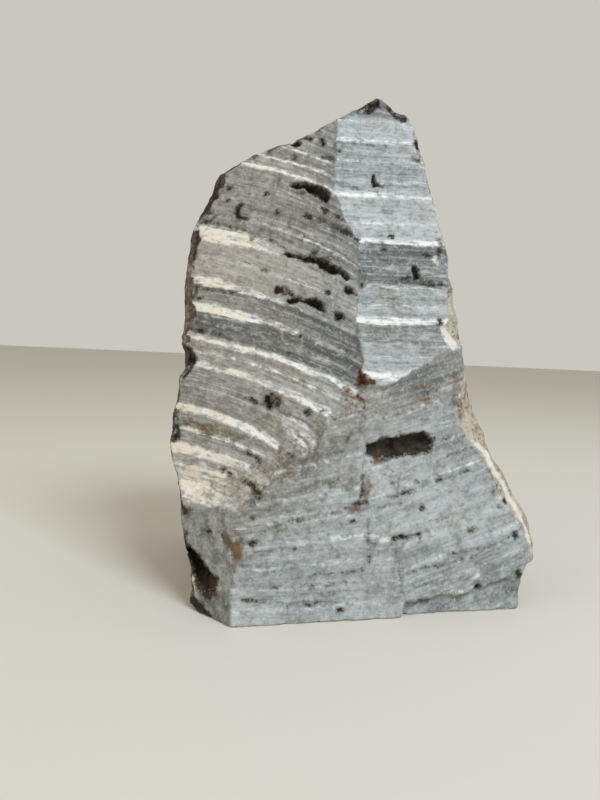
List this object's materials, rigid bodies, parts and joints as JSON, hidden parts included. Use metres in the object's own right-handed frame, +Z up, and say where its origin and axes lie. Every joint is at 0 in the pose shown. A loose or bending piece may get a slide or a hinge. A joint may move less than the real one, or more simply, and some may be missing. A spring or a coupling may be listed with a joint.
{
  "type": "soapstone block",
  "caption": "Rough upright block of soapstone with a flat sawn foot, saw-stepped front and back, broken natural sides and a peaked top.",
  "frame": {"origin": "on the flat foot, under the middle of the block", "axes": "+Z up from the foot, +Y from the sawn front towards the back, +X to the right as seen from the front"},
  "size_m": [0.2404, 0.1834, 0.3291],
  "materials": {
    "soapstone": "dry sawn and broken soapstone, grey to blue-grey with cream saw ledges and a dark brown rind"
  },
  "bodies": {
    "root": {"soapstone_block": "soapstone"}
  },
  "joints": []
}
